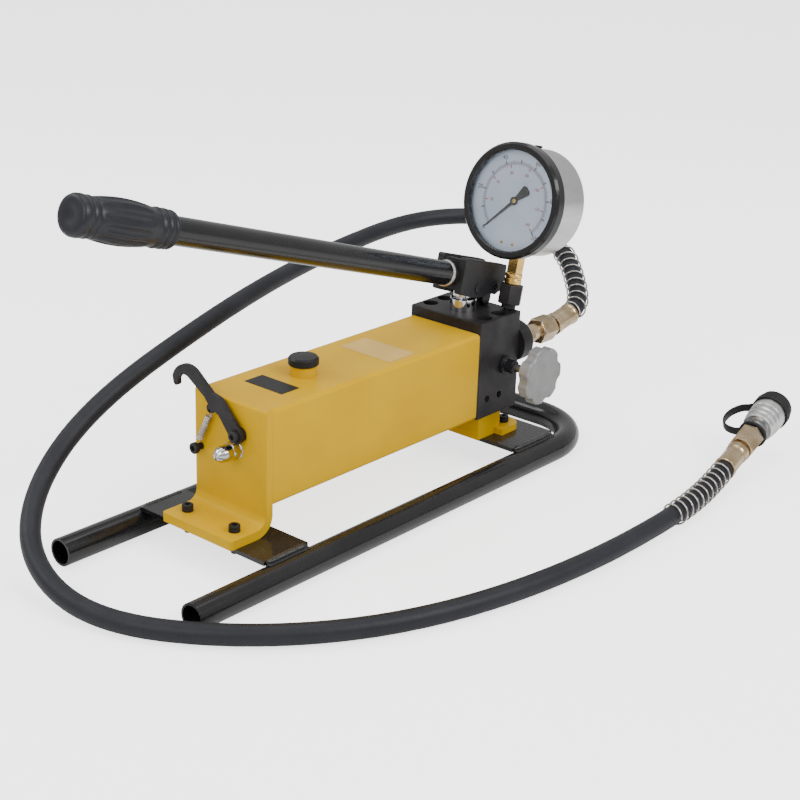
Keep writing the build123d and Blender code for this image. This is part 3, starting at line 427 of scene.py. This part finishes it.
def grip_radius(r, z, a):
    """Long oval flutes round the swelling body of the grip."""
    s = (z - flute_mid) / flute_half
    if abs(s) >= 1:
        return r
    across = ((a * FLUTES / (2 * pi)) % 1 - 0.5) * 2
    depth = 1 - (across / 0.72) ** 2 - s ** 6
    return r - FLUTE_DEPTH * max(0.0, depth) ** 0.8


beads = [(0.0152, 0), (0.0190, 0.0004), (0.0200, 0.002), (0.0200, 0.005), (0.0186, 0.0068),
         (0.0202, 0.0086), (0.0206, 0.011), (0.0202, 0.0134), (0.0188, 0.0152), (0.0204, 0.017),
         (0.0208, 0.0195), (0.0204, 0.022), (0.0190, 0.0238), (0.0199, 0.026)]
swell = [(0.0201 + 0.0034 * sin(pi * k / 24) ** 0.8, 0.030 + 0.072 * k / 24) for k in range(25)]
tip = [(0.0190, 0.104), (0.0206, 0.1056), (0.0212, 0.108), (0.0206, 0.1104), (0.0196, 0.112),
       (0.0210, 0.1136), (0.0214, 0.117), (0.0212, 0.121), (0.0200, 0.1238), (0.0180, 0.125),
       (0.0150, 0.1252), (0.0090, 0.1250), (0.0060, 0.1240), (0.0020, 0.1236)]
grip = lathe("grip", HANDLE, [(r, grip_start + z) for r, z in beads + swell + tip], 240, grip_radius)
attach(dress(grip, "grip_plastic"), "handle")
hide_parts("handle_grip")


def weld_ring(name, place, radius, thick, slot_name, own, body, lumps=34):
    """Ring of overlapping weld ripples round a round seam."""
    verts, faces, around, across = [], [], 240, 10
    for k in range(around):
        a = 2 * pi * k / around
        ripple = 1 + 0.16 * abs(sin(lumps * a / 2)) + 0.12 * noise.noise((9 * cos(a), 9 * sin(a), 3.1))
        for j in range(across):
            b = 2 * pi * j / across
            r = radius + thick * ripple * cos(b)
            verts.append(place @ Vector((r * cos(a), r * sin(a), thick * 1.3 * ripple * sin(b))))
    for k in range(around):
        for j in range(across):
            n, m = (k + 1) % around, (j + 1) % across
            faces.append((k * across + j, n * across + j, n * across + m, k * across + m))
    ring = mesh_object(name, verts, faces)
    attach(dress(ring, slot_name, own), body)


weld_ring("handle_weld", HANDLE @ Matrix.Translation((0, 0, 0.001)), tube_r - 0.0004, 0.0019,
          "black_gloss_paint", "weld_bright", "handle")


# ---------------------------------------------------------------- welds of the cross plates
def weld_line(name, start, end, thick, body, pitch=0.0042, step=0.0007):
    """Row of weld ripples along a straight seam."""
    span = Vector(end) - Vector(start)
    place = axes_from(start, span, (0, 0, 1))
    verts, faces, rows, across = [], [], int(span.length / step), 12
    for k in range(rows + 1):
        z = span.length * k / rows
        taper = min(1.0, k / rows * 12, (rows - k) / rows * 12)
        ripple = 1 + 0.20 * abs(sin(pi * z / pitch)) + 0.3 * noise.noise((z * 90, 2.7, 0.4))
        r = thick * (0.25 + 0.75 * taper) * ripple
        for j in range(across):
            b = 2 * pi * j / across
            verts.append(place @ Vector((r * cos(b), 1.25 * r * sin(b), z)))
    for k in range(rows):
        for j in range(across):
            m = (j + 1) % across
            faces.append((k * across + j, (k + 1) * across + j, (k + 1) * across + m, k * across + m))
    faces += [tuple(range(across)), tuple(range(rows * across, (rows + 1) * across))]
    bead = mesh_object(name, verts, faces)
    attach(dress(bead, "black_gloss_paint", "weld_metal"), body)


SEAM_INSET = 0.0062
for plate in ("rear_cross_plate", "front_cross_plate"):
    low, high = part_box(plate)
    seam_z = high[2] - 0.0014
    for label, seam_y in (("near", low[1] + SEAM_INSET), ("far", high[1] - SEAM_INSET)):
        weld_line(f"{plate}_{label}_weld", (low[0] + 0.003, seam_y, seam_z),
                  (high[0] - 0.003, seam_y, seam_z), 0.0024, "base")


# ---------------------------------------------------------------- plates on the tank
tank_low, tank_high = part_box("tank_shell")
tank_mid_y = (tank_low[1] + tank_high[1]) / 2
TOP = Matrix.Translation((tank_low[0], tank_mid_y, tank_high[2]))


def panel(name, x_span, y_span, slot_name, own, rise):
    """Blank label plate on top of the tank."""
    (x0, x1), (y0, y1) = x_span, y_span
    obj = slabs(name, TOP, [[(x0, y0), (x1, y0), (x1, y1), (x0, y1)]], 0.00002, rise)
    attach(dress(obj, slot_name, own), "base")


panel("rear_label", (0.040, 0.068), (-0.028, 0.030), "black_gloss_paint", "label_black", 0.00035)
panel("front_label", (0.201, 0.246), (-0.043, 0.035), "yellow_paint", "label_cream", 0.0003)


# ---------------------------------------------------------------- strap of the dust cap
socket = mounts["coupler_socket"]
outward = Vector(socket["axis"])
HOSE_END_TO_SOCKET = 0.130
STRAP_TURN = radians(-95)
coupler_root = Vector(socket["pos_m"]) - HOSE_END_TO_SOCKET * outward
COUPLER = axes_from(coupler_root, outward, Vector((0, 0, 1)).cross(outward))
STRAP = COUPLER @ Matrix.Rotation(STRAP_TURN, 4, "Z")
BAND_HALF_THICK = 0.0009


def smooth_path(points, parts=14):
    """Points along a curve through the given ones."""
    ends = [2 * points[0] - points[1], *points, 2 * points[-1] - points[-2]]
    path = []
    for a, b, c, d in zip(ends, ends[1:], ends[2:], ends[3:]):
        for k in range(parts):
            t = k / parts
            path.append(0.5 * (2 * b + (c - a) * t + (2 * a - 5 * b + 4 * c - d) * t * t
                               + (3 * b - a - 3 * c + d) * t ** 3))
    return path + [points[-1]]


def strap_mesh():
    """Moulded ring behind the coupler, and a flat band that loops from it to the rim of the cap."""
    verts, faces, around = [], [], 96
    section = [(0.0131, 0.0804), (0.0176, 0.0803), (0.0184, 0.0811), (0.0184, 0.0842), (0.0176, 0.0850),
               (0.0131, 0.0849)]
    for k in range(around):
        a = 2 * pi * k / around
        verts += [STRAP @ Vector((r * cos(a), r * sin(a), z)) for r, z in section]
    n = len(section)
    for k in range(around):
        for j in range(n):
            a, b = k * n, (k + 1) % around * n
            faces.append((a + j, b + j, b + (j + 1) % n, a + (j + 1) % n))
    outline = [Vector(p) for p in ((0.0172, 0.0827), (0.027, 0.0828), (0.037, 0.0862), (0.0455, 0.0955),
                                   (0.0488, 0.109), (0.0465, 0.124), (0.038, 0.1365), (0.0246, 0.1415))]
    path = smooth_path(outline)
    first = len(verts)
    for i, spot in enumerate(path):
        ahead_of = (path[min(i + 1, len(path) - 1)] - path[max(i - 1, 0)]).normalized()
        out = Vector((-ahead_of.y, ahead_of.x)) * BAND_HALF_THICK
        half = 0.0050 if 4 < i < len(path) - 5 else 0.0058
        corners = [(-half, -1), (-half * 0.8, -1.25), (half * 0.8, -1.25), (half, -1), (half, 1),
                   (half * 0.8, 1.25), (-half * 0.8, 1.25), (-half, 1)]
        verts += [STRAP @ Vector((w, spot.x + side * out.x, spot.y + side * out.y)) for w, side in corners]
    for i in range(len(path) - 1):
        for j in range(8):
            a, b = first + i * 8, first + (i + 1) * 8
            faces.append((a + j, b + j, b + (j + 1) % 8, a + (j + 1) % 8))
    faces += [tuple(range(first, first + 8)), tuple(range(len(verts) - 8, len(verts)))]
    return mesh_object("strap", verts, faces)


strap = dress(strap_mesh(), "black_rubber")
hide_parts("dust_cap_strap")
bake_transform(strap)


# ---------------------------------------------------------------- floor, light and camera
def soft_light(name, where, target, size, power):
    lamp = bpy.data.lights.new(name, "AREA")
    lamp.shape = "RECTANGLE"
    lamp.size, lamp.size_y = size
    lamp.energy = power
    obj = bpy.data.objects.new(name, lamp)
    obj.location = where
    obj.rotation_euler = (Vector(target) - Vector(where)).to_track_quat("-Z", "Y").to_euler()
    bpy.context.scene.collection.objects.link(obj)


def glow(tree, socket, unseen, seen):
    """A strength that differs between what the camera looks at and what lights the object."""
    direct = add_node(tree, "LightPath").outputs["Is Camera Ray"]
    tree.links.new(spread(tree, direct, 0.0, 1.0, unseen, seen), socket)


FLOOR_HALF = 40
floor_corners = [(x * FLOOR_HALF, y * FLOOR_HALF, 0) for x, y in ((-1, -1), (1, -1), (1, 1), (-1, 1))]
floor = mesh_object("floor", floor_corners, [(0, 1, 2, 3)], smooth=False)
floor.location.z = start_bounds[0][2] - 0.0004
pale = finish("floor", (0.93, 0.93, 0.93), 0.75, vary=0.01, relief=0.02, size=2, wear=0.0)
pale_shader = pale.node_tree.nodes["Principled BSDF"]
pale_shader.inputs["Emission Color"].default_value = (1, 1, 1, 1)
glow(pale.node_tree, pale_shader.inputs["Emission Strength"], 0.0, 2.0)
floor.data.materials.append(pale)
centre = (Vector(start_bounds[0]) + Vector(start_bounds[1])) / 2
soft_light("key", centre + Vector((0.2, -2.4, 1.9)), centre, (1.8, 1.2), 62)
soft_light("left", centre + Vector((-2.3, -0.4, 1.5)), centre, (1.4, 1.4), 26)
soft_light("top", centre + Vector((0.2, 0.2, 2.6)), centre, (2.4, 2.0), 30)
soft_light("back", centre + Vector((-1.4, 2.2, 1.9)), centre, (1.6, 1.0), 26)
world = bpy.data.worlds.new("studio")
world.use_nodes = True
world.node_tree.nodes["Background"].inputs["Color"].default_value = (1, 1, 1, 1)
glow(world.node_tree, world.node_tree.nodes["Background"].inputs["Strength"], 0.7, 2.7)
bpy.context.scene.world = world

HEADING, DROP, ROLL = radians(-49.9), radians(21.18), radians(1.93)
ahead = Vector((-sin(HEADING) * cos(DROP), cos(HEADING) * cos(DROP), -sin(DROP)))
flat_right = Vector((cos(HEADING), sin(HEADING), 0))
flat_up = flat_right.cross(ahead)
right = cos(ROLL) * flat_right + sin(ROLL) * flat_up
up = -sin(ROLL) * flat_right + cos(ROLL) * flat_up
camera = bpy.data.objects.new("camera", bpy.data.cameras.new("camera"))
camera.data.sensor_width = 36.0
camera.data.lens = 73.1
camera.matrix_world = Matrix((right, up, -ahead)).transposed().to_4x4()
camera.location = Vector((-1.3633, -1.1494, 0.8141))
bpy.context.scene.collection.objects.link(camera)
bpy.context.scene.camera = camera
